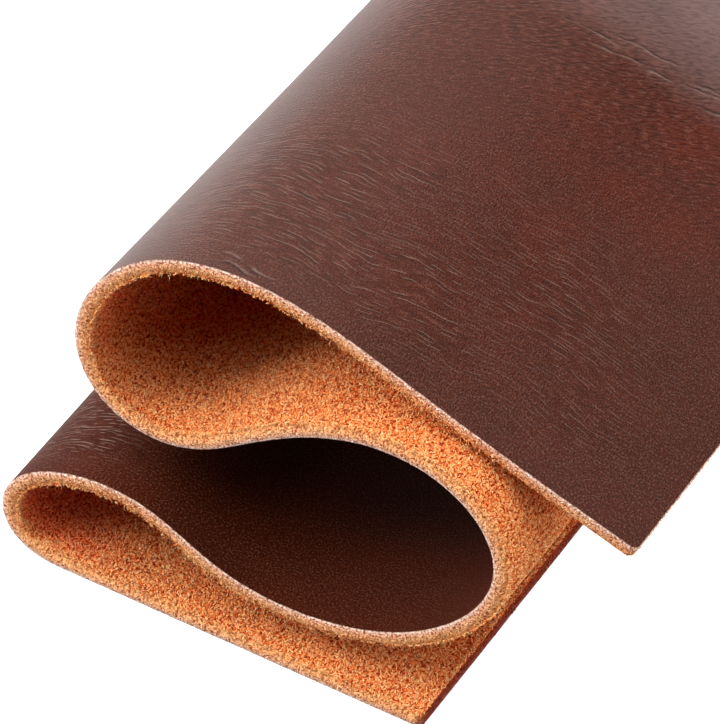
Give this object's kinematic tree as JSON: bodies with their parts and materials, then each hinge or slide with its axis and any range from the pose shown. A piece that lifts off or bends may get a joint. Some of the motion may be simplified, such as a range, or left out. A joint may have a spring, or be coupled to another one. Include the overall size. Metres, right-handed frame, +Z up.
{
  "type": "leather hide",
  "caption": "Cut sheet of leather hide folded back and forth into layers, smooth dark brown grain side outside and rough orange flesh side inside the loops.",
  "frame": {"origin": "middle of the bounding box's base, on the surface that the bottom layer lies on", "axes": "+X along the near cut edge to the right, +Y away from the near cut edge, +Z up"},
  "size_m": [0.0856, 0.1628, 0.0521],
  "materials": {
    "leather": "semi-gloss dark brown grain side, rough orange suede-like flesh side, pale cut edges"
  },
  "bodies": {
    "root": {"hide": "leather"}
  },
  "joints": []
}
